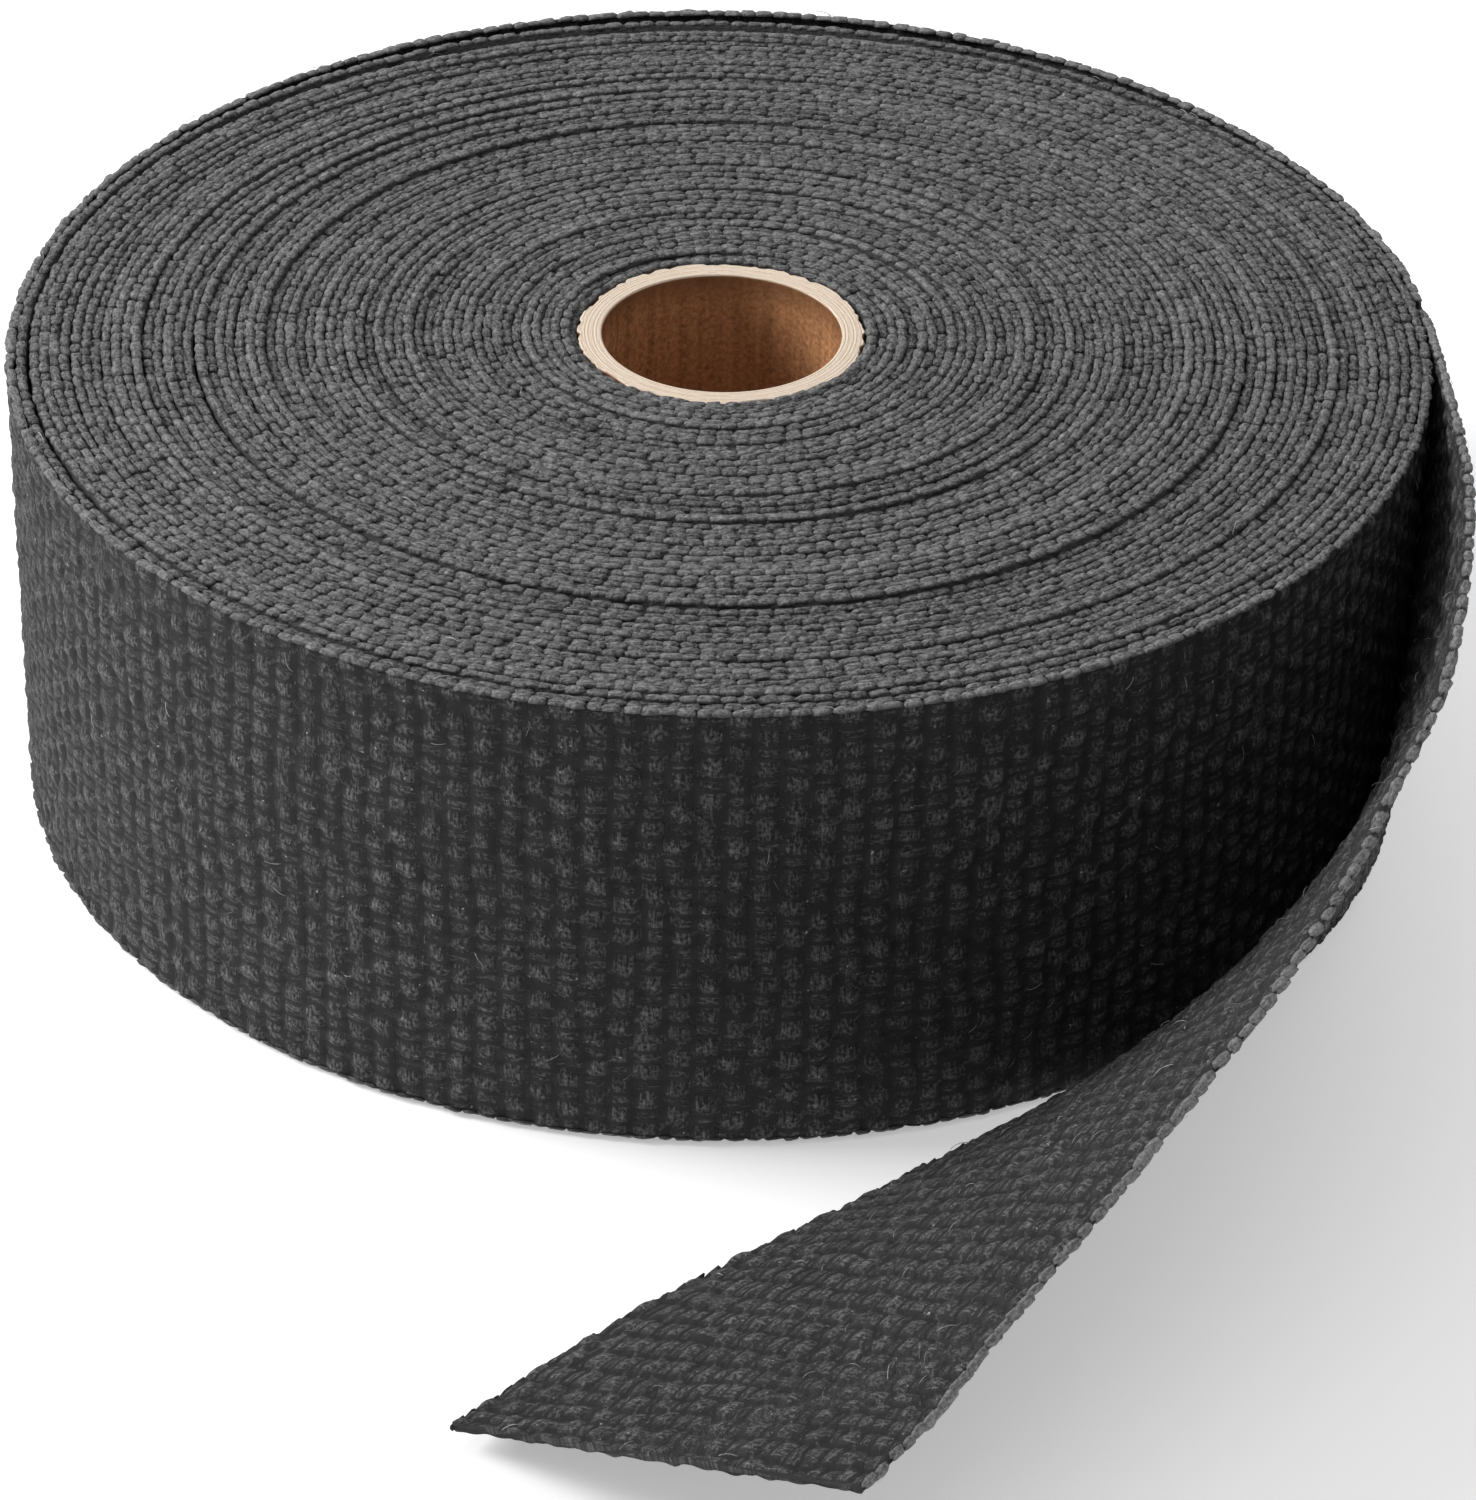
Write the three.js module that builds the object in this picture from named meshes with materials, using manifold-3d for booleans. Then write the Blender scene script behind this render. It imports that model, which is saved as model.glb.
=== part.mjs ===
// Exhaust heat wrap: a roll of woven heat tape on a cardboard core, standing on its end.
//
// Millimetres, degrees and +Z up. The roll's axis is vertical and both pieces rest on the floor.
// The tape's free end leaves the roll on its +X side, runs forward along -Y past the front of the
// roll and leans outward until it lies almost flat. The origin is under the middle of the whole part.

import * as THREE from 'three';
import { mergeVertices } from 'three/addons/utils/BufferGeometryUtils.js';
import Module from 'manifold-3d';

const wasm = await Module();
wasm.setup();

// The tape
const TAPE_WIDTH = 50.8;
const TAPE_THICKNESS = 1.06;

// The wound coil under its last turn
const COIL_RADIUS = 74.3;
const TURNS_PER_GROOVE = 5;
const GROOVE_WIDTH = 0.5;
const GROOVE_DEPTH = 0.8;

// The cardboard core
const CORE_BORE = 25.4;
const CORE_WALL = 2.6;
const CORE_CLEARANCE = 0.3;

// The last turn is loose: it clears the coil, bulges off it at the back over the first SLACK_ANGLE
// degrees behind the free end, and from there on it is wound down into the coil
const LOOSE_GAP = 0.3;
const SLACK = 2.2;
const SLACK_ANGLE = 180;
const SEAT_DEPTH = 0.6;
const BURIED_ANGLE = 360;

// The free end, station by station: the angle round the roll's axis, how far the upper edge leans
// outward from upright, and in widths of the tape how far the lower edge is away from the coil, past
// the loose gap, and how far it is lifted off the floor
const FREE_END = [
  { around: 4, lean: 0, away: 0, lift: 0.005 },
  { around: -22, lean: 9, away: 0, lift: 0.06 },
  { around: -38, lean: 21, away: 0.02, lift: 0.04 },
  { around: -50, lean: 33, away: 0.01, lift: 0.02 },
  { around: -63, lean: 45, away: 0.075, lift: 0.01 },
  { around: -74, lean: 55, away: 0.22, lift: 0 },
  { around: -83.5, lean: 65, away: 0.465, lift: 0.005 },
  { around: -88.5, lean: 69, away: 0.73, lift: 0.035 },
];

// Facets
const ROUND_SIDES = 48;
const TURN_STATION_ANGLE = 10;
const TAPE_STEPS = 96;

const coreRadius = CORE_BORE / 2 + CORE_WALL;
const wrapBoreRadius = coreRadius + CORE_CLEARANCE;
const up = new THREE.Vector3(0, 0, 1);

// Turns a closed outline of [radius, height] points about the roll's axis.
function turned(outline) {
  const closed = [...outline, outline[0]].map(([radius, height]) => new THREE.Vector2(radius, height));
  const geometry = new THREE.LatheGeometry(closed, ROUND_SIDES);
  geometry.rotateX(Math.PI / 2);
  return geometry;
}

// Radii of the grooves that show the turns on the coil's ends, from the rim inward.
function grooveRadii() {
  const pitch = TURNS_PER_GROOVE * TAPE_THICKNESS;
  const radii = [];
  for (let radius = COIL_RADIUS - pitch; radius > wrapBoreRadius + pitch / 2; radius -= pitch) {
    radii.push(radius);
  }
  return radii;
}

// The coil is a turned ring with the turns cut into both ends as V grooves.
function coilGeometry() {
  const topEnd = grooveRadii().flatMap((radius) => [
    [radius + GROOVE_WIDTH / 2, TAPE_WIDTH],
    [radius, TAPE_WIDTH - GROOVE_DEPTH],
    [radius - GROOVE_WIDTH / 2, TAPE_WIDTH],
  ]);
  const bottomEnd = topEnd.map(([radius, height]) => [radius, TAPE_WIDTH - height]).reverse();
  return turned([
    [COIL_RADIUS, 0],
    [COIL_RADIUS, TAPE_WIDTH],
    ...topEnd,
    [wrapBoreRadius, TAPE_WIDTH],
    [wrapBoreRadius, 0],
    ...bottomEnd,
  ]);
}

// How far the inner face of the last turn stands off the coil, at an angle behind the free end.
function lastTurnGap(angle) {
  if (angle < SLACK_ANGLE) {
    return LOOSE_GAP + SLACK * Math.sin((Math.PI * angle) / SLACK_ANGLE) ** 2;
  }
  const wound = (angle - SLACK_ANGLE) / (BURIED_ANGLE - SLACK_ANGLE);
  return THREE.MathUtils.lerp(-SEAT_DEPTH, -TAPE_THICKNESS - SEAT_DEPTH / 2, wound);
}

// A place in the middle of the tape, from where its lower edge is and how far it leans outward.
function station(around, gap, lean = 0, lift = 0) {
  const angle = THREE.MathUtils.degToRad(around);
  const tilt = THREE.MathUtils.degToRad(lean);
  const across = (TAPE_WIDTH / 2) * Math.sin(tilt) + (TAPE_THICKNESS / 2) * Math.cos(tilt);
  const height = (TAPE_WIDTH / 2) * Math.cos(tilt) + (TAPE_THICKNESS / 2) * Math.sin(tilt);
  const radius = COIL_RADIUS + gap + across;
  const middle = new THREE.Vector3(radius * Math.cos(angle), radius * Math.sin(angle), lift + height);
  return { middle, tilt };
}

// The tape's middle line from under the last turn to the cut end, with the tape's own tilt as its frame.
class TapeLine extends THREE.CatmullRomCurve3 {
  constructor(stations) {
    super(stations.map((place) => place.middle));
    this.arcLengthDivisions = 20 * stations.length;
    this.tilts = new THREE.SplineCurve(stations.map((place, i) => new THREE.Vector2(i, place.tilt)));
  }

  computeFrenetFrames(segments) {
    const frames = { tangents: [], normals: [], binormals: [] };
    for (let i = 0; i <= segments; i++) {
      const t = this.getUtoTmapping(i / segments);
      const tilt = this.tilts.getPoint(t).y;
      const tangent = this.getTangent(t);
      const outward = new THREE.Vector3().crossVectors(up, tangent).normalize();
      const upward = new THREE.Vector3().crossVectors(tangent, outward);
      const faceNormal = outward.clone().multiplyScalar(Math.cos(tilt));
      faceNormal.addScaledVector(upward, -Math.sin(tilt));
      frames.tangents.push(tangent);
      frames.normals.push(faceNormal);
      frames.binormals.push(new THREE.Vector3().crossVectors(tangent, faceNormal));
    }
    return frames;
  }
}

// The last turn and the free end are one flat tape swept along its middle line.
function looseTapeGeometry() {
  const stations = [];
  for (let angle = BURIED_ANGLE; angle > FREE_END[0].around; angle -= TURN_STATION_ANGLE) {
    stations.push(station(angle, lastTurnGap(angle)));
  }
  for (const { around, lean, away, lift } of FREE_END) {
    stations.push(station(around, LOOSE_GAP + away * TAPE_WIDTH, lean, lift * TAPE_WIDTH));
  }
  const section = new THREE.Shape();
  section.moveTo(-TAPE_THICKNESS / 2, -TAPE_WIDTH / 2);
  section.lineTo(TAPE_THICKNESS / 2, -TAPE_WIDTH / 2);
  section.lineTo(TAPE_THICKNESS / 2, TAPE_WIDTH / 2);
  section.lineTo(-TAPE_THICKNESS / 2, TAPE_WIDTH / 2);
  section.closePath();
  return new THREE.ExtrudeGeometry(section, { steps: TAPE_STEPS, extrudePath: new TapeLine(stations) });
}

function solidOf(geometry) {
  const bare = geometry.clone();
  bare.deleteAttribute('normal');
  bare.deleteAttribute('uv');
  const merged = mergeVertices(bare, 1e-5);
  return new wasm.Manifold(new wasm.Mesh({
    numProp: 3,
    vertProperties: new Float32Array(merged.attributes.position.array),
    triVerts: new Uint32Array(merged.index.array),
  }));
}

function geometryOf(solid) {
  const mesh = solid.getMesh();
  const geometry = new THREE.BufferGeometry();
  geometry.setAttribute('position', new THREE.BufferAttribute(new Float32Array(mesh.vertProperties), 3));
  geometry.setIndex(new THREE.BufferAttribute(new Uint32Array(mesh.triVerts), 1));
  geometry.computeVertexNormals();
  return geometry;
}

function heatWrap() {
  const geometry = geometryOf(solidOf(coilGeometry()).add(solidOf(looseTapeGeometry())));
  const material = new THREE.MeshStandardMaterial({ color: 0x2b2b2c, roughness: 0.85, metalness: 0.1 });
  const mesh = new THREE.Mesh(geometry, material);
  mesh.name = 'heat_wrap';
  return mesh;
}

function cardboardCore() {
  const geometry = turned([
    [coreRadius, 0],
    [coreRadius, TAPE_WIDTH],
    [CORE_BORE / 2, TAPE_WIDTH],
    [CORE_BORE / 2, 0],
  ]);
  const material = new THREE.MeshStandardMaterial({ color: 0xcdb08a, roughness: 0.9, metalness: 0 });
  const mesh = new THREE.Mesh(geometry, material);
  mesh.name = 'cardboard_core';
  return mesh;
}

const group = new THREE.Group();
group.add(heatWrap(), cardboardCore());

// The origin goes under the middle of the part's box, on the floor.
const box = new THREE.Box3().setFromObject(group);
const middle = box.getCenter(new THREE.Vector3());
group.position.set(-middle.x, -middle.y, -box.min.z);

export default group;
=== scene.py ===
import math

import bmesh
import bpy
import numpy as np
from mathutils import Matrix, Vector


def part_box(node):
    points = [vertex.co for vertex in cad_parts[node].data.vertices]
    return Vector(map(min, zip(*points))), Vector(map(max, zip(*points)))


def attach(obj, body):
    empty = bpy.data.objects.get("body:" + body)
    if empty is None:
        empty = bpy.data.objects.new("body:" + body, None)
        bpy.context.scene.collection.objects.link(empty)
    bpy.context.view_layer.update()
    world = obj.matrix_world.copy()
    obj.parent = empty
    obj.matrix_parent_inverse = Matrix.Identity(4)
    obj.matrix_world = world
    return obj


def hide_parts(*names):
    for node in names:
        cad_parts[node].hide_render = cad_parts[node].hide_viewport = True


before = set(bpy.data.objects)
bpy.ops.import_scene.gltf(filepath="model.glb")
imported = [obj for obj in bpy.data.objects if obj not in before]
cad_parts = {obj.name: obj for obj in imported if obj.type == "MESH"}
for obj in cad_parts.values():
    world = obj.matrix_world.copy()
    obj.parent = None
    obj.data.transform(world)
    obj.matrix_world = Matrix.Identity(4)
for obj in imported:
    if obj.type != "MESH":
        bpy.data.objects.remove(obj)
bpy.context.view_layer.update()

# Cardboard core: a tube of plies of brown board wound and glued round a spindle, then sawn square.
# Its sawn ends show the plies as pale rings, a little ragged where the saw left the outer ply.

MM = 0.001
core_low, core_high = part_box("cardboard_core")
AXIS = ((core_low.x + core_high.x) / 2, (core_low.y + core_high.y) / 2, 0)
CORE_RADIUS = (core_high.x - core_low.x) / 2
CORE_LENGTH = core_high.z - core_low.z
CORE_WALL = 2.6 * MM
CORE_ARRIS = 0.12 * MM
CORE_SIDES = 180
PLIES = 6
PLY_DEPTH = 0.05 * MM
PLY_GROOVE_HALF = 0.08 * MM
RAGGED = 0.6 * MM
RAGGED_DEPTH = 0.8 * MM
LIP = 0.6 * MM
LIP_SHADE = 3.5 * MM
SAWN = (0.78, 0.66, 0.54, 1)
SAWN_DARK = (0.50, 0.37, 0.26, 1)
BORE_DARK = (0.17, 0.078, 0.038, 1)
BORE_LIGHT = (0.60, 0.30, 0.14, 1)

rng = np.random.default_rng(11)


def core_end_profile(height, into):
    """The end's outline from the bore's edge to the outer edge, with a groove between plies."""
    bore = CORE_RADIUS - CORE_WALL
    arris, below = height + into * CORE_ARRIS, height + into * 4 * CORE_ARRIS
    points = [(bore, below), (bore, arris), (bore + CORE_ARRIS, height)]
    for ply in range(1, PLIES):
        radius = bore + CORE_WALL * ply / PLIES
        points.append((radius - PLY_GROOVE_HALF, height))
        points.append((radius, height + into * PLY_DEPTH))
        points.append((radius + PLY_GROOVE_HALF, height))
    return points + [(CORE_RADIUS - CORE_ARRIS, height), (CORE_RADIUS, arris), (CORE_RADIUS, below)]


def placed_object(name, mesh):
    """An object for a finished mesh, smooth, at the origin and in the scene."""
    mesh.polygons.foreach_set("use_smooth", [True] * len(mesh.polygons))
    made = bpy.data.objects.new(name, mesh)
    bpy.context.scene.collection.objects.link(made)
    return made


def node(tree, kind, inputs, **settings):
    """A shader node with its settings, and its inputs given as values or as sockets to link from."""
    made = tree.nodes.new("ShaderNode" + kind)
    for name, value in settings.items():
        setattr(made, name, value)
    for name, value in inputs.items():
        if isinstance(value, bpy.types.NodeSocket):
            tree.links.new(value, made.inputs[name])
        else:
            made.inputs[name].default_value = value
    return made


def math_node(tree, operation, *values):
    return node(tree, "Math", dict(enumerate(values)), operation=operation).outputs["Value"]


def range_node(tree, value, from_min, from_max, to_min=0.0, to_max=1.0):
    limits = {
        "Value": value, "From Min": from_min, "From Max": from_max, "To Min": to_min, "To Max": to_max,
    }
    return node(tree, "MapRange", limits).outputs["Result"]


def mix_colours(tree, factor, first, second):
    """A colour between two, the mix node's colour sockets being its seventh and eighth."""
    mixed = node(tree, "Mix", {}, data_type="RGBA")
    for place, value in ((0, factor), (6, first), (7, second)):
        if isinstance(value, bpy.types.NodeSocket):
            tree.links.new(value, mixed.inputs[place])
        else:
            mixed.inputs[place].default_value = value
    return mixed.outputs[2]


shape = bmesh.new()
outline = core_end_profile(CORE_LENGTH, -1) + core_end_profile(0, 1)[::-1]
ring = [shape.verts.new((radius, 0, height)) for radius, height in outline]
for start, end in zip(ring, ring[1:] + ring[:1]):
    shape.edges.new((start, end))
bmesh.ops.spin(
    shape, geom=shape.verts[:] + shape.edges[:], cent=(0, 0, 0), axis=(0, 0, 1),
    angle=math.tau, steps=CORE_SIDES, use_merge=True,
)
bmesh.ops.remove_doubles(shape, verts=shape.verts, dist=1e-7)
bmesh.ops.recalc_face_normals(shape, faces=shape.faces)
core_mesh = bpy.data.meshes.new("core_tube")
shape.to_mesh(core_mesh)
shape.free()

points = np.empty(len(core_mesh.vertices) * 3)
core_mesh.vertices.foreach_get("co", points)
points = points.reshape(-1, 3)
angle = np.arctan2(points[:, 1], points[:, 0])
ragged = sum(np.sin(k * angle + rng.uniform(0, math.tau)) / k**0.5 for k in range(5, 84, 6))
radius = np.hypot(points[:, 0], points[:, 1])
outer = np.clip((radius - CORE_RADIUS + CORE_WALL / 2) / (CORE_WALL / 2), 0, 1)
near_end = np.exp(-np.minimum(points[:, 2], CORE_LENGTH - points[:, 2]) / RAGGED_DEPTH)
pulled_in = RAGGED * np.clip(0.4 + 0.8 * ragged, 0, 1) * outer**3 * near_end
points[:, :2] = points[:, :2] * (1 - pulled_in / radius)[:, None] + AXIS[:2]
core_mesh.vertices.foreach_set("co", points.ravel())
core_tube = placed_object("core_tube", core_mesh)

board = bpy.data.materials.new("sawn_board")
board.use_nodes = True
tree = board.node_tree
shader = tree.nodes["Principled BSDF"]
shader.inputs["Specular IOR Level"].default_value = 0
shader.inputs["Roughness"].default_value = 0.95
coords = node(tree, "TexCoord", {})
off_axis = {"Vector": coords.outputs["Object"], "Location": [-part for part in AXIS]}
centred = node(tree, "Mapping", off_axis).outputs["Vector"]
streaks = node(tree, "Mapping", {"Vector": centred, "Scale": (900, 900, 26)}).outputs["Vector"]
streak = node(tree, "TexNoise", {"Vector": streaks, "Scale": 1, "Detail": 5}).outputs["Fac"]
pulp_grain = {"Vector": centred, "Scale": 1900, "Detail": 6, "Roughness": 0.7}
pulp = node(tree, "TexNoise", pulp_grain).outputs["Fac"]
blotch = node(tree, "TexNoise", {"Vector": centred, "Scale": 260, "Detail": 3}).outputs["Fac"]
stain = math_node(tree, "MULTIPLY_ADD", pulp, 0.8, math_node(tree, "MULTIPLY", streak, 0.35))
bore_colour = mix_colours(tree, range_node(tree, stain, 0.38, 0.75), BORE_DARK, BORE_LIGHT)
flat_place = node(tree, "VectorMath", {0: centred, 1: (1, 1, 0)}, operation="MULTIPLY").outputs["Vector"]
from_axis = node(tree, "VectorMath", {0: flat_place}, operation="LENGTH").outputs["Value"]
ply_phase = math_node(tree, "MULTIPLY", from_axis, math.tau * 1.5 * PLIES / CORE_WALL)
ply_wave = math_node(tree, "SINE", math_node(tree, "MULTIPLY_ADD", blotch, 14, ply_phase))
ply_mask = range_node(tree, math_node(tree, "MULTIPLY", ply_wave, pulp), 0.1, 0.6, 0, 0.9)
end_colour = mix_colours(tree, ply_mask, SAWN, SAWN_DARK)
at_height = node(tree, "SeparateXYZ", {"Vector": coords.outputs["Object"]}).outputs["Z"]
from_middle = math_node(tree, "ABSOLUTE", math_node(tree, "SUBTRACT", at_height, CORE_LENGTH / 2))
# Painted shade: the bore darkens towards each end, under the lip of the sawn end.
end_shade = range_node(tree, from_middle, CORE_LENGTH / 2 - LIP_SHADE, CORE_LENGTH / 2 - LIP, 0, 0.75)
bore_colour = mix_colours(tree, end_shade, bore_colour, BORE_DARK)
sawn_mask = range_node(tree, from_middle, CORE_LENGTH / 2 - 2 * CORE_ARRIS, CORE_LENGTH / 2 - CORE_ARRIS)
tree.links.new(mix_colours(tree, sawn_mask, bore_colour, end_colour), shader.inputs["Base Color"])
bump_inputs = {"Strength": 0.6, "Distance": 0.15 * MM, "Height": pulp}
tree.links.new(node(tree, "Bump", bump_inputs).outputs["Normal"], shader.inputs["Normal"])
core_mesh.materials.append(board)
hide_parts("cardboard_core")
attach(core_tube, "root")

# Wound turns: the tape inside the coil, one flat woven band wound from the core outward on a winder.
# Only its edges show, between the loops on the ends, so it has no weave. Where the winding tension
# dropped, turns lie looser or have slid up or down. The places along the tape are measured here, from
# the cut end inward, and the outer turn and the free end follow the same run.

TAPE_WIDTH = 50.8 * MM
TAPE_THICKNESS = 1.06 * MM
COIL_RADIUS = 74.3 * MM
LOOSE_GAP = 0.3 * MM
SLACK = 2.2 * MM
SLACK_ANGLE = 180
WOUND_PITCH = 1.035 * MM
INNERMOST_RADIUS = CORE_RADIUS + 0.5 * MM
INNER_LAP = 0.85
UNEVEN = 0.13
SECOND_SLACK = 1.2 * MM
BODY_THICKNESS = 0.96 * MM
LOOP_RISE = 0.36 * MM
STATIONS_PER_TURN = 72
LEAVES_AT = 10
BODY_STARTS = 360 + 20
# Turns in from the rim, the gap there in millimetres and the direction in degrees where it is widest
LOOSE_TURNS = (
    (1.55, 0.4, 150), (5.3, 0.2, 160), (8.8, 0.12, 120), (12.3, 0.24, 150),
    (14.9, 0.12, 250), (17.9, 0.3, 130), (21.6, 0.14, 210), (24.6, 0.12, 100),
)
# Turns in from the rim, and how far the turns from there inward have slid along the axis
SLID_TURNS = (
    (1.2, 0.22), (5.4, -0.3), (9.5, 0.25), (12.4, -0.2), (17.9, 0.3), (24.5, -0.25), (33, 0.2), (41, -0.15),
)
# The free end: angle round the axis, lean outward, widths away from the coil, widths off the floor
FREE_END = (
    (4, 0, 0, 0.005), (-22, 9, 0, 0.06), (-38, 21, 0.02, 0.04), (-50, 33, 0.01, 0.02),
    (-63, 45, 0.075, 0.01), (-74, 55, 0.22, 0), (-83.5, 65, 0.465, 0.005), (-88.5, 69, 0.73, 0.035),
)
# Light grey of the painted glints on the yarn.
PAINTED_GLINT = (0.4, 0.4, 0.4, 1)
SHADED_DARK = (0.03, 0.03, 0.0305, 1)
SHADED_LIGHT = (0.12, 0.12, 0.122, 1)


def ease(value):
    clipped = np.clip(value, 0, 1)
    return clipped * clipped * (3 - 2 * clipped)


def turn_radius(behind):
    """Radius of the tape's middle, at degrees behind the free end and on inward."""
    turns = behind / 360
    radius = COIL_RADIUS + LOOSE_GAP + TAPE_THICKNESS / 2 - WOUND_PITCH * turns
    bulge = np.sin(math.pi * np.clip((behind % 360) / SLACK_ANGLE, 0, 1)) ** 2
    radius += np.where(turns < 1, SLACK * bulge, 0)
    radius -= np.where(turns >= 2, SECOND_SLACK * bulge * np.exp(-np.maximum(turns - 2, 0) / 14), 0)
    for start, gap, widest in LOOSE_TURNS:
        fading = 0.4 * np.exp(-np.maximum(turns - start, 0) / 5)
        uneven = 0.7 + fading * np.cos(np.radians(behind - widest))
        radius -= gap * MM * uneven * ease((turns - start) / 0.8)
    return np.maximum(radius, INNERMOST_RADIUS)


wander = rng.normal(0, UNEVEN, 360)


def turn_wander(behind):
    """How much higher or lower a turn lies than its neighbours, changing every sixth of a turn."""
    return np.interp(behind / 60, np.arange(len(wander)), wander)


def turn_lift(behind):
    """How far a turn has slid up the coil, which lifts both of its edges."""
    turns = behind / 360
    lift = 0.3 + 0.1 * np.sin(turns * 2.1) + turn_wander(behind)
    for start, step in SLID_TURNS:
        lift = lift + step * ease((turns - start) / 0.6)
    return np.clip(lift, 0.02, 0.75) * MM * ease(turns / 0.7)


def smooth_run(stations, steps):
    """A Catmull-Rom run through rows of numbers, from the second row to the last."""
    rows = np.array(stations, float)
    rows = np.vstack([rows, 2 * rows[-1] - rows[-2]])
    t = np.linspace(0, 1, steps, endpoint=False)[:, None]
    run = []
    for a, b, c, d in zip(rows, rows[1:], rows[2:], rows[3:]):
        cubic = 1.5 * (b - c) + (d - a) / 2
        square = a - 2.5 * b + 2 * c - d / 2
        run.append(b + t * ((c - a) / 2 + t * (square + t * cubic)))
    return np.vstack(run + [rows[-2:-1]])


def wound_station(behind):
    turn = np.radians(behind)
    radius = turn_radius(behind)
    height = TAPE_WIDTH / 2 + turn_lift(behind)
    return np.stack([radius * np.cos(turn), radius * np.sin(turn), height, np.zeros_like(turn)], axis=-1)


def free_station(around, lean, away, lift):
    tilt = math.radians(lean)
    across = TAPE_WIDTH / 2 * math.sin(tilt) + TAPE_THICKNESS / 2 * math.cos(tilt)
    height = TAPE_WIDTH / 2 * math.cos(tilt) + TAPE_THICKNESS / 2 * math.sin(tilt)
    radius = COIL_RADIUS + LOOSE_GAP + away * TAPE_WIDTH + across
    turn = math.radians(around)
    return radius * math.cos(turn), radius * math.sin(turn), lift * TAPE_WIDTH + height, tilt


led_off = [wound_station(np.array(float(angle))) for angle in (2 * LEAVES_AT, LEAVES_AT)]
led_off = smooth_run(led_off + [free_station(*row) for row in FREE_END], 60)[::-1]
total_turns = 0
while turn_radius(np.array(360.0 * (total_turns - INNER_LAP))) > INNERMOST_RADIUS:
    total_turns += 0.05
behind = np.arange(LEAVES_AT + 1, 360 * total_turns, 1.0)
route = np.vstack([led_off, wound_station(behind)])
route_steps = np.linalg.norm(np.diff(route[:, :3], axis=0), axis=1)
route_length = np.concatenate([[0], np.cumsum(route_steps)])
route_behind = np.concatenate([np.linspace(-120, LEAVES_AT, len(led_off)), behind])
FREE_LENGTH = float(route_length[len(led_off) - 1])
TAPE_LENGTH = float(route_length[-1])


def tape_frame(along):
    """The tape's middle, its outward and upward directions and its own run, at distances along it."""
    middle = np.stack([np.interp(along, route_length, route[:, k]) for k in range(3)], axis=1)
    tilt = np.interp(along, route_length, route[:, 3])
    reach = 0.8 * MM
    ahead = np.stack([np.interp(along + reach, route_length, route[:, k]) for k in range(3)], axis=1)
    back = np.stack([np.interp(along - reach, route_length, route[:, k]) for k in range(3)], axis=1)
    run = back - ahead
    run /= np.linalg.norm(run, axis=1, keepdims=True)
    outward = np.stack([-run[:, 1], run[:, 0], np.zeros(len(run))], axis=1)
    outward /= np.linalg.norm(outward, axis=1, keepdims=True)
    upward = np.cross(run, outward)
    face = outward * np.cos(tilt)[:, None] - upward * np.sin(tilt)[:, None]
    return middle + AXIS, face, np.cross(run, face), run


def band(name, along_steps, section_steps, place):
    """A closed band of quads. place() turns shares along it and round its section into points."""
    shape = bmesh.new()
    bmesh.ops.create_grid(shape, x_segments=along_steps, y_segments=section_steps, size=1)
    mesh = bpy.data.meshes.new(name)
    shape.to_mesh(mesh)
    shape.free()
    flat = np.empty(len(mesh.vertices) * 3)
    mesh.vertices.foreach_get("co", flat)
    share = (flat.reshape(-1, 3) + 1) / 2
    placed, across, along, crest, weft = place(share[:, 0], share[:, 1])
    mesh.vertices.foreach_set("co", placed.ravel())
    for label, values in (("crest", crest), ("weft", weft)):
        mesh.attributes.new(label, "FLOAT", "POINT").data.foreach_set("value", values)
    corner = np.empty(len(mesh.loops), dtype=np.int32)
    mesh.loops.foreach_get("vertex_index", corner)
    layout = mesh.uv_layers.new(name="tape")
    layout.data.foreach_set("uv", np.stack([along[corner], across[corner]], axis=1).ravel())
    shape = bmesh.new()
    shape.from_mesh(mesh)
    bmesh.ops.remove_doubles(shape, verts=shape.verts, dist=1e-7)
    bmesh.ops.holes_fill(shape, edges=[edge for edge in shape.edges if edge.is_boundary], sides=0)
    bmesh.ops.recalc_face_normals(shape, faces=shape.faces)
    shape.to_mesh(mesh)
    shape.free()
    return placed_object(name, mesh)


# Yarn, for every woven piece: graphite-coloured mineral filaments in a loose twist, matted and hairy.
# Crests are painted lighter and valleys darker, as painted highlight and painted shade, and here and there
# a broken filament gets a painted glint.
yarn = bpy.data.node_groups.new("matted_yarn", "ShaderNodeTree")
for label in ("Along", "Around", "Crest", "Tone"):
    yarn.interface.new_socket(label, in_out="INPUT", socket_type="NodeSocketFloat")
for label in ("Dark", "Light"):
    yarn.interface.new_socket(label, in_out="INPUT", socket_type="NodeSocketColor")
for label, kind in (("Color", "Color"), ("Height", "Float"), ("Roughness", "Float")):
    yarn.interface.new_socket(label, in_out="OUTPUT", socket_type="NodeSocket" + kind)
given = yarn.nodes.new("NodeGroupInput").outputs
spot = node(yarn, "CombineXYZ", {"X": given["Along"], "Y": given["Around"]}).outputs["Vector"]
twist = {"Vector": spot, "Rotation": (0, 0, math.radians(24)), "Scale": (900, 3900, 1)}
twisted = node(yarn, "Mapping", twist).outputs["Vector"]
filaments = node(yarn, "TexNoise", {"Vector": twisted, "Scale": 1, "Detail": 2}).outputs["Fac"]
tufted = {"Vector": spot, "Scale": 2300, "Detail": 3, "Roughness": 0.65}
tufts = node(yarn, "TexNoise", tufted).outputs["Fac"]
patches = node(yarn, "TexNoise", {"Vector": spot, "Scale": 120, "Detail": 2}).outputs["Fac"]
painted_glints = node(yarn, "TexNoise", {"Vector": spot, "Scale": 1900, "Detail": 1}).outputs["Fac"]
matted = math_node(yarn, "MULTIPLY_ADD", tufts, 0.65, math_node(yarn, "MULTIPLY", filaments, 0.35))
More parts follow.
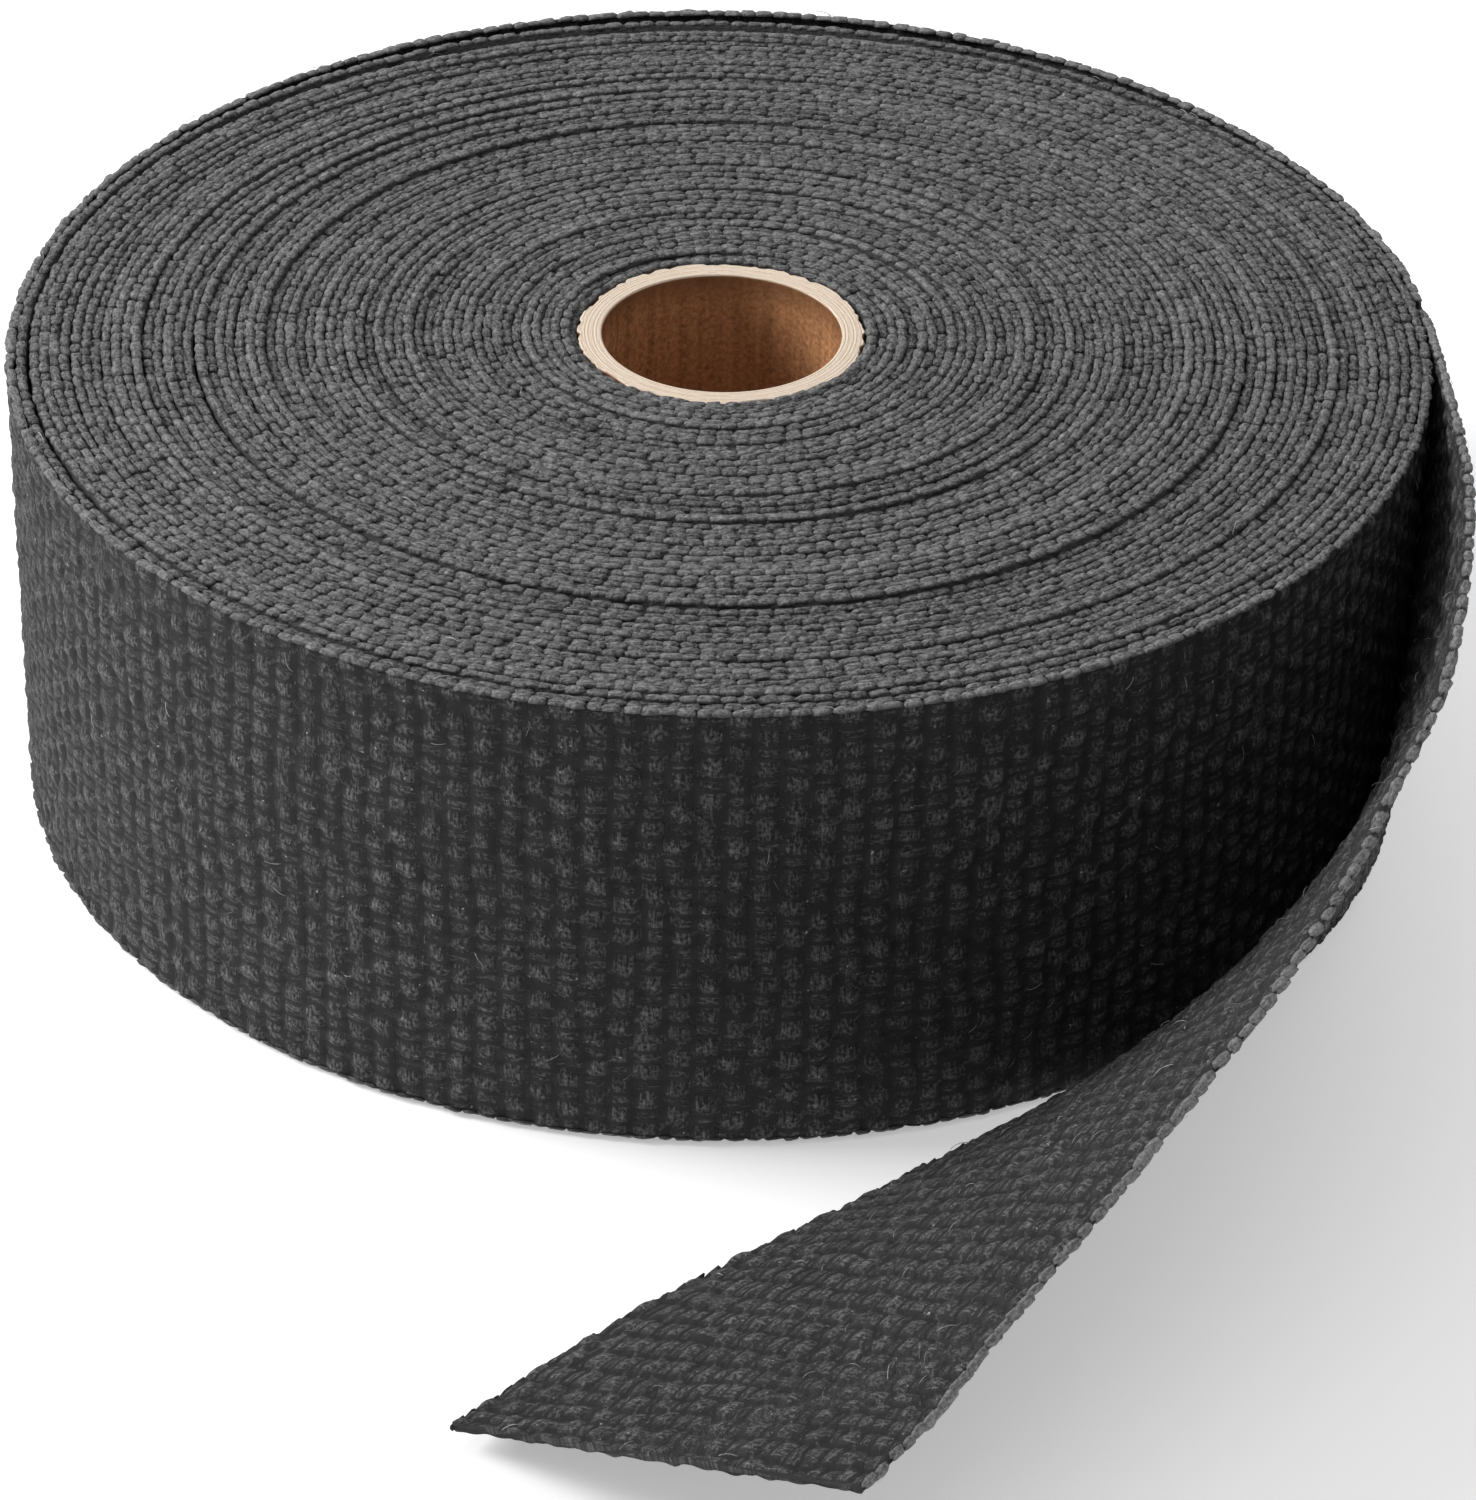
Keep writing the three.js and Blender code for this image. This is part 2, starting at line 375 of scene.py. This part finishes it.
grain = range_node(yarn, matted, 0.4, 0.62)
# Painted shade and highlight: the grain darkens towards the valleys and the sides of each loop and lightens
# on the crests.
high = math_node(yarn, "POWER", given["Crest"], 1.6)
grain_with_painted_shade = math_node(yarn, "MULTIPLY", grain, range_node(yarn, high, 0, 1, 0.35, 1))
toned = math_node(yarn, "MULTIPLY_ADD", given["Tone"], 0.45, -0.4)
level = math_node(yarn, "ADD", grain_with_painted_shade, math_node(yarn, "MULTIPLY_ADD", patches, 0.5, toned))
yarn_colour = mix_colours(yarn, range_node(yarn, level, 0, 1.1), given["Dark"], given["Light"])
# Painted glints: sparse specks of the yarn colour are set light grey.
painted_glint_mask = range_node(yarn, painted_glints, 0.73, 0.78, 0, 0.8)
yarn_colour = mix_colours(yarn, painted_glint_mask, yarn_colour, PAINTED_GLINT)
result = yarn.nodes.new("NodeGroupOutput")
yarn.links.new(yarn_colour, result.inputs["Color"])
yarn.links.new(grain, result.inputs["Height"])
yarn.links.new(range_node(yarn, patches, 0.2, 0.8, 0.65, 0.9), result.inputs["Roughness"])


def yarn_material(name, dark, light, woven=False, bump=0.12):
    """Yarn colour and bump. On a woven face the twist turns with the yarn that is on top."""
    made = bpy.data.materials.new(name)
    made.use_nodes = True
    tree = made.node_tree
    shader = tree.nodes["Principled BSDF"]
    shader.inputs["Specular IOR Level"].default_value = 0.3
    shader.inputs["Sheen Weight"].default_value = 0.06
    shader.inputs["Sheen Roughness"].default_value = 0.5
    layout = node(tree, "UVMap", {}, uv_map="tape")
    parts = node(tree, "SeparateXYZ", {"Vector": layout.outputs["UV"]}).outputs
    along, around = parts["X"], parts["Y"]
    if woven:
        on_top = node(tree, "Attribute", {}, attribute_name="weft").outputs["Fac"]
        along, around = (
            node(tree, "Mix", {0: on_top, 2: warp, 3: weft}).outputs[0]
            for warp, weft in ((parts["X"], parts["Y"]), (parts["Y"], parts["X"]))
        )
    crest = node(tree, "Attribute", {}, attribute_name="crest").outputs["Fac"]
    tone = node(tree, "Attribute", {}, attribute_name="tone").outputs["Fac"]
    given = {"Along": along, "Around": around, "Crest": crest, "Tone": tone, "Dark": dark, "Light": light}
    group = tree.nodes.new("ShaderNodeGroup")
    group.node_tree = yarn
    for label, value in given.items():
        if isinstance(value, tuple):
            group.inputs[label].default_value = value
        else:
            tree.links.new(value, group.inputs[label])
    tree.links.new(group.outputs["Color"], shader.inputs["Base Color"])
    tree.links.new(group.outputs["Roughness"], shader.inputs["Roughness"])
    bump_inputs = {"Strength": 1, "Distance": bump * MM, "Height": group.outputs["Height"]}
    tree.links.new(node(tree, "Bump", bump_inputs).outputs["Normal"], shader.inputs["Normal"])
    return made


def dress_wrap(piece, finish):
    piece.data.materials.append(finish)
    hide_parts("heat_wrap")
    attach(piece, "root")


def place_wound(share_along, share_round):
    angle = BODY_STARTS + share_along * (route_behind[-1] - BODY_STARTS)
    along = np.interp(angle, route_behind, route_length)
    middle, face, up, _ = tape_frame(along)
    side = np.round(share_round * 4) % 4
    out = np.where((side == 0) | (side == 1), 0.5, -0.5) * BODY_THICKNESS
    rise = np.where((side == 1) | (side == 2), 0.5, -0.5) * (TAPE_WIDTH - 2 * LOOP_RISE)
    placed = middle + face * out[:, None] + up * rise[:, None]
    return placed, rise, along, np.full(len(along), 0.3), np.zeros(len(along))


wound_steps = int((total_turns - BODY_STARTS / 360) * STATIONS_PER_TURN)
wound_turns = band("wound_turns", wound_steps, 4, place_wound)
shaded_yarn = yarn_material("shaded_yarn", SHADED_DARK, SHADED_LIGHT)
dress_wrap(wound_turns, shaded_yarn)

# Outer turn: the last lap of the tape, whose outward face shows the weave. Thick weft yarns stand
# upright as ribs and thinner warp yarns run round the roll, one over and one under.

PICK = 2.75 * MM
WARP_ENDS = 28
WARP_PITCH = TAPE_WIDTH / WARP_ENDS
SAMPLES = 4
WEFT_ROUND = 0.6 * MM
WARP_ROUND = 0.3 * MM
WEFT_CRIMP = 0.16 * MM
WARP_CRIMP = 0.24 * MM
WARP_SUNK = 0.26 * MM
LUMPY = 0.13 * MM
SEATED = 0.1 * MM
DEEPEST = 0.4 * MM
EDGE_ROUND = 0.55 * MM
FACE_DARK = (0.012, 0.012, 0.0125, 1)
FACE_LIGHT = (0.24, 0.24, 0.243, 1)
LAP_ANGLE = 360 + 60

lump_grid = rng.uniform(-1, 1, (97, 61))


def lumps(along, across, size):
    """Smooth random numbers between -1 and 1 over the tape's face, in lumps of about one size."""
    rows, columns = lump_grid.shape
    u, v = along / size, across / size + columns
    i, j = np.floor(u).astype(int), np.floor(v).astype(int)
    s, t = ease(u - i), ease(v - j)
    low, high = (
        lump_grid[i % rows, (j + k) % columns] * (1 - s) + lump_grid[(i + 1) % rows, (j + k) % columns] * s
        for k in (0, 1)
    )
    return low * (1 - t) + high * t


def weave(along, across):
    """Height of the weave over the tape's face, how near the crest it is, and if weft is on top."""
    pick = along / PICK + 0.2 * lumps(along, across, 4.1 * MM) + 0.14 * lumps(across + 1, along, 9.7 * MM)
    end = across / WARP_PITCH + 0.5 + 0.16 * lumps(along + 1, across, 5.3 * MM)
    pick_no, end_no = np.round(pick), np.round(end)
    pick_off, end_off = (pick - pick_no) * 2, (end - end_no) * 2
    swell = np.modf(np.abs(np.sin(pick_no * 12.9898 + end_no * 78.233)) * 437.585)[0]
    crimp = 0.45 + 1.1 * swell
    weft = -WEFT_ROUND * (1 - np.sqrt(np.clip(1 - 0.9 * pick_off**2, 0, 1)))
    weft = weft + WEFT_CRIMP * crimp * np.cos(math.pi * (end - pick_no))
    warp = -WARP_SUNK - WARP_ROUND * (1 - np.sqrt(np.clip(1 - 0.9 * end_off**2, 0, 1)))
    warp = warp - WARP_CRIMP * crimp * np.cos(math.pi * (pick - end_no))
    height = np.maximum(weft, warp) + LUMPY * lumps(along, across, 1.3 * MM) - SEATED
    height = np.maximum(height, -DEEPEST)
    crest = np.clip((height + DEEPEST) / (DEEPEST + WEFT_CRIMP), 0, 1)
    return height, crest, np.where(weft > warp, 1.0, 0.0)


def place_woven(first, last, face_rows, back_rows, back_relief):
    """A band of tape between two distances, its outward face woven and its back woven or plain."""
    rows = face_rows + back_rows

    def place(share_along, share_round):
        along = first + share_along * (last - first)
        row = np.round(share_round * rows) % rows
        on_face = row <= face_rows
        across = np.where(on_face, row / face_rows, 1 - (row - face_rows) / back_rows) - 0.5
        across = across * (TAPE_WIDTH - LOOP_RISE)
        middle, face, up, _ = tape_frame(along)
        height, crest, weft = weave(along, across)
        back_height, back_crest, back_weft = weave(along + PICK, across)
        height = np.where(on_face, height, back_height * back_relief)
        edge = (TAPE_WIDTH - LOOP_RISE) / 2 - np.abs(across)
        rounding = np.sqrt(np.clip(1 - (1 - np.clip(edge / EDGE_ROUND, 0, 1)) ** 2, 0, 1))
        out = (TAPE_THICKNESS / 2 + height) * (0.25 + 0.75 * rounding)
        out = np.where(on_face, out, -out)
        placed = middle + face * out[:, None] + up * across[:, None]
        crest = np.where(on_face, crest, back_crest)
        return placed, across, along, crest, np.where(on_face, weft, back_weft)

    return place


lap_end = float(np.interp(LAP_ANGLE, route_behind, route_length))
outer_picks = int((lap_end - FREE_LENGTH) / PICK)
face_rows = WARP_ENDS * SAMPLES
outer_turn = band(
    "outer_turn", outer_picks * SAMPLES, face_rows + 4,
    place_woven(FREE_LENGTH, FREE_LENGTH + outer_picks * PICK, face_rows, 4, 0),
)
woven_yarn = yarn_material("woven_yarn", FACE_DARK, FACE_LIGHT, woven=True, bump=0.16)
dress_wrap(outer_turn, woven_yarn)

# Selvage loops: at both edges of the tape the weft yarns turn back on themselves as short fat loops.
# On the ends of the roll they lie in rows like stitches, one row for each turn, standing proud of the
# weave and lighter than it; the outermost turns carry painted rim light.

LOOP_PITCH = 1.8 * MM
LOOP_LENGTH = 2.3 * MM
LOOP_WIDTH = 1.2 * MM
LOOP_HEIGHT = 0.45 * MM
LOOP_SEAT = 0.04 * MM
LOOP_STRAY = 0.16 * MM
LOOP_SWAY = 0.05 * MM
LOOP_JITTER = 0.08
LOOP_DARK = (0.02, 0.02, 0.0203, 1)
LOOP_LIGHT = (0.28, 0.28, 0.283, 1)


def copies(name, template, middle, axes, tone, along, jitter=LOOP_JITTER):
    """One mesh of many copies of a small template shape, each with its own place and axes."""
    count, corners = len(middle), np.array([v.co for v in template.verts])
    rough = corners[None] + rng.normal(0, jitter, (count, len(corners), 3))
    placed = middle[:, None, :] + np.einsum("nvk,nkj->nvj", rough, axes)
    faces = [[v.index for v in f.verts] for f in template.faces]
    loops = np.concatenate(faces)
    sizes = np.array([len(f) for f in faces])
    mesh = bpy.data.meshes.new(name)
    mesh.vertices.add(count * len(corners))
    mesh.vertices.foreach_set("co", placed.ravel())
    mesh.loops.add(count * len(loops))
    vertex_of_loop = np.tile(loops, count) + np.repeat(np.arange(count) * len(corners), len(loops))
    mesh.loops.foreach_set("vertex_index", vertex_of_loop)
    mesh.polygons.add(count * len(sizes))
    mesh.polygons.foreach_set("loop_start", np.concatenate([[0], np.cumsum(np.tile(sizes, count))[:-1]]))
    mesh.update(calc_edges=True)
    crest = np.tile(corners[:, 2], count)
    for label, values in (("tone", np.repeat(tone, len(corners))), ("crest", crest)):
        mesh.attributes.new(label, "FLOAT", "POINT").data.foreach_set("value", values)
    lengthwise = np.repeat(along, len(corners)) + np.tile(corners[:, 0], count) * LOOP_LENGTH / 2
    around = np.tile(corners[:, 1], count) * LOOP_WIDTH / 2
    layout = mesh.uv_layers.new(name="tape")
    layout.data.foreach_set("uv", np.stack([lengthwise, around], axis=1)[vertex_of_loop].ravel())
    return placed_object(name, mesh)


loop_shape = bmesh.new()
bmesh.ops.create_uvsphere(loop_shape, u_segments=8, v_segments=4, radius=1)
bmesh.ops.bisect_plane(
    loop_shape, geom=loop_shape.verts[:] + loop_shape.edges[:] + loop_shape.faces[:],
    dist=0.001, plane_co=(0, 0, 0), plane_no=(0, 0, 1), clear_inner=True,
)
bmesh.ops.holes_fill(loop_shape, edges=[e for e in loop_shape.edges if e.is_boundary], sides=0)
bmesh.ops.recalc_face_normals(loop_shape, faces=loop_shape.faces)
for corner in loop_shape.verts:
    corner.co = Vector([math.copysign(abs(part) ** 0.72, part) for part in corner.co])
loop_shape.verts.index_update()


def selvage(name, first, last, side, brightness, width=LOOP_WIDTH, height=LOOP_HEIGHT):
    """A row of loops along one edge of the tape: side is 1 for the upper edge, -1 for the lower."""
    pick = np.arange(math.ceil(first / LOOP_PITCH), math.floor(last / LOOP_PITCH)) + 0.5
    along = pick * LOOP_PITCH + rng.normal(0, LOOP_STRAY, len(pick))
    middle, face, up, run = tape_frame(along)
    base = side * (TAPE_WIDTH / 2 - LOOP_RISE - LOOP_SEAT)
    middle = middle + up * base + face * rng.normal(0, LOOP_SWAY, len(pick))[:, None]
    yaw = rng.normal(0.06, 0.05, len(pick))
    lengthwise = run * np.cos(yaw)[:, None] + face * np.sin(yaw)[:, None]
    crosswise = (face * np.cos(yaw)[:, None] - run * np.sin(yaw)[:, None]) * side
    length = LOOP_LENGTH / 2 * rng.normal(1, 0.1, len(pick))
    width = width / 2 * rng.normal(1, 0.1, len(pick))
    rise = height * np.clip(rng.normal(0.8, 0.1, len(pick)), 0.5, 1.1)
    sizes = (lengthwise * length[:, None], crosswise * width[:, None], up * side * rise[:, None])
    axes = np.stack(sizes, axis=1)
    behind = np.interp(along, route_length, route_behind)
    # Painted rim light: loops on the outer turns are lighter, fading over a turn inward; turns lying higher
    # are lighter too.
    rim = brightness + 0.6 * np.exp(-np.maximum(behind, 0) / 360)
    tone = np.clip(rim + 1.4 * turn_wander(behind) + rng.normal(0, 0.12, len(pick)), 0, 1.6)
    made = copies(name, loop_shape, middle, axes, tone, along)
    dress_wrap(made, looped_yarn)
    return made


looped_yarn = yarn_material("looped_yarn", LOOP_DARK, LOOP_LIGHT)
half_way = float(np.interp(360 * 17, route_behind, route_length))
for side, end_name in ((1, "upper"), (-1, "lower")):
    selvage(f"{end_name}_loops_rim", FREE_LENGTH, half_way, side, 0.45)
    selvage(f"{end_name}_loops_heart", half_way, TAPE_LENGTH, side, 0.45)

# Free end: the length of tape led off the roll, woven on both faces and cut straight across.
# It twists as it goes, so its inner face turns up and its lower edge stays on the floor.

free_end = band(
    "free_end", round(FREE_LENGTH / PICK) * SAMPLES, 2 * face_rows,
    place_woven(0, FREE_LENGTH, face_rows, face_rows, 1),
)
dress_wrap(free_end, woven_yarn)
free_loops = [
    # The free end's upper loops are lighter, partly frayed fibre and partly painted rim light; its lower
    # loops are darker.
    selvage("free_end_upper_loops", 0, FREE_LENGTH, 1, 0.6, 1.1 * MM, 0.4 * MM),
    selvage("free_end_lower_loops", 0, FREE_LENGTH, -1, -0.4, 0.7 * MM, 0.22 * MM),
]
loop_shape.free()

# Loose filaments: broken ends of the mineral fibre that stand out of the yarn as pale curls. They lie
# at random on the faces and along the edges, a few millimetres long and about as thick as a hair.

STRAND_LENGTH = 2.4 * MM
STRAND_ARC = math.radians(60)
STRAND_THICKNESS = 0.036
STRAND_STEPS = 6
STRAND_DARK = (0.25, 0.25, 0.25, 1)
STRAND_LIGHT = (0.85, 0.85, 0.84, 1)

strand_shape = bmesh.new()
bend = 1 / math.sin(STRAND_ARC / 2)
section = [
    strand_shape.verts.new((0, STRAND_THICKNESS * math.cos(turn), bend + STRAND_THICKNESS * math.sin(turn)))
    for turn in (0, math.tau / 3, 2 * math.tau / 3)
]
for start, end in zip(section, section[1:] + section[:1]):
    strand_shape.edges.new((start, end))
bmesh.ops.rotate(
    strand_shape, verts=strand_shape.verts, cent=(0, 0, 0), matrix=Matrix.Rotation(-STRAND_ARC / 2, 3, "Y"),
)
bmesh.ops.spin(
    strand_shape, geom=strand_shape.verts[:] + strand_shape.edges[:], cent=(0, 0, 0), axis=(0, 1, 0),
    angle=STRAND_ARC, steps=STRAND_STEPS,
)
bmesh.ops.translate(strand_shape, verts=strand_shape.verts, vec=(0, 0, -bend * math.cos(STRAND_ARC / 2)))
bmesh.ops.holes_fill(strand_shape, edges=[e for e in strand_shape.edges if e.is_boundary], sides=0)
bmesh.ops.recalc_face_normals(strand_shape, faces=strand_shape.faces)
strand_shape.verts.index_update()
loose_filament = yarn_material("loose_filament", STRAND_DARK, STRAND_LIGHT)


def strands(name, sites):
    """Strands scattered over the tape. A site is a run of it, a count and a face or edge to lie on."""
    middles, all_axes, places = [], [], []
    for first, last, count, where in sites:
        along = rng.uniform(first, last, count)
        middle, face, up, run = tape_frame(along)
        normal, side = {"outer": (face, up), "inner": (-face, up), "upper": (up, face)}[where]
        spread = TAPE_WIDTH * 0.45 if where != "upper" else TAPE_THICKNESS * 0.4
        depth = TAPE_THICKNESS if where != "upper" else TAPE_WIDTH
        proud = depth / 2 + rng.uniform(-0.15, 0.1, count) * MM
        turn = rng.uniform(0, math.tau, count) if where != "upper" else rng.normal(0, 0.5, count)
        lean = rng.normal(0, 0.25, count)
        flat = run * np.cos(turn)[:, None] + side * np.sin(turn)[:, None]
        length = flat * np.cos(lean)[:, None] + normal * np.sin(lean)[:, None]
        bulge = normal * np.cos(lean)[:, None] - flat * np.sin(lean)[:, None]
        size = STRAND_LENGTH / 2 * (0.12 + rng.beta(0.8, 2.6, count))[:, None]
        off_line = rng.uniform(-spread, spread, count)
        middles.append(middle + normal * proud[:, None] + side * off_line[:, None])
        all_axes.append(np.stack([length * size, np.cross(bulge, length) * size, bulge * size], axis=1))
        places.append(along)
    along = np.concatenate(places)
    tone = rng.uniform(0, 1.2, len(along))
    made = copies(name, strand_shape, np.vstack(middles), np.vstack(all_axes), tone, along, 0.008)
    dress_wrap(made, loose_filament)
    return made


strands("roll_filaments", (
    (FREE_LENGTH, lap_end, 420, "outer"), (FREE_LENGTH, lap_end, 260, "upper"),
    (lap_end, TAPE_LENGTH, 420, "upper"),
))
free_filaments = strands("free_end_filaments", (
    (0, FREE_LENGTH, 420, "inner"), (0, FREE_LENGTH, 90, "outer"), (0, FREE_LENGTH, 60, "upper"),
))
strand_shape.free()

# Studio: a plain pale floor lit from within like a light table, a soft key on the left, and a weak
# soft box overhead. The camera looks down as the photograph does.

CAMERA_OFFSET = (31.39 * MM, -519.94 * MM, 339.75 * MM)
CAMERA_TURN = math.radians(3.169)
CAMERA_PITCH = math.radians(33.262)
CAMERA_ROLL = math.radians(1.160)
LENS = 135.05
FLOOR_REACH = 4
FLOOR_GLOW = 0.35
ROOM_GLOW = 0.42

shape = bmesh.new()
bmesh.ops.create_grid(shape, x_segments=1, y_segments=1, size=FLOOR_REACH)
floor_mesh = bpy.data.meshes.new("floor")
shape.to_mesh(floor_mesh)
shape.free()
floor = bpy.data.objects.new("floor", floor_mesh)
bpy.context.scene.collection.objects.link(floor)
paper = bpy.data.materials.new("paper")
paper.use_nodes = True
lit_paper = paper.node_tree.nodes["Principled BSDF"]
lit_paper.inputs["Base Color"].default_value = (0.85, 0.85, 0.85, 1)
lit_paper.inputs["Roughness"].default_value = 0.9
lit_paper.inputs["Emission Color"].default_value = (1, 1, 1, 1)
lit_paper.inputs["Emission Strength"].default_value = FLOOR_GLOW
floor_mesh.materials.append(paper)

for label, place, aim, size, power in (
    ("overhead", (0.2, 0.3, 1.4), (0, 0, 0), 1.2, 4),
    ("key", (-1.0, 0.1, 0.62), (0, 0, 0.02), 0.5, 14),
):
    lamp = bpy.data.lights.new(label, "AREA")
    lamp.energy = power
    lamp.size = size
    light = bpy.data.objects.new(label, lamp)
    light.location = place
    light.rotation_euler = (Vector(aim) - light.location).to_track_quat("-Z", "Y").to_euler()
    bpy.context.scene.collection.objects.link(light)

world = bpy.data.worlds.new("studio")
world.use_nodes = True
world.node_tree.nodes["Background"].inputs["Color"].default_value = (1, 1, 1, 1)
world.node_tree.nodes["Background"].inputs["Strength"].default_value = ROOM_GLOW
bpy.context.scene.world = world
bpy.context.scene.view_settings.view_transform = "Standard"

lens = bpy.data.cameras.new("camera")
lens.lens = LENS
lens.sensor_width = 36
lens.clip_start = 0.01
camera = bpy.data.objects.new("camera", lens)
camera.matrix_world = (
    Matrix.Translation([axis + offset for axis, offset in zip(AXIS, CAMERA_OFFSET)])
    @ Matrix.Rotation(CAMERA_TURN, 4, "Z")
    @ Matrix.Rotation(math.pi / 2 - CAMERA_PITCH, 4, "X")
    @ Matrix.Rotation(CAMERA_ROLL, 4, "Z")
)
bpy.context.scene.collection.objects.link(camera)
bpy.context.scene.camera = camera
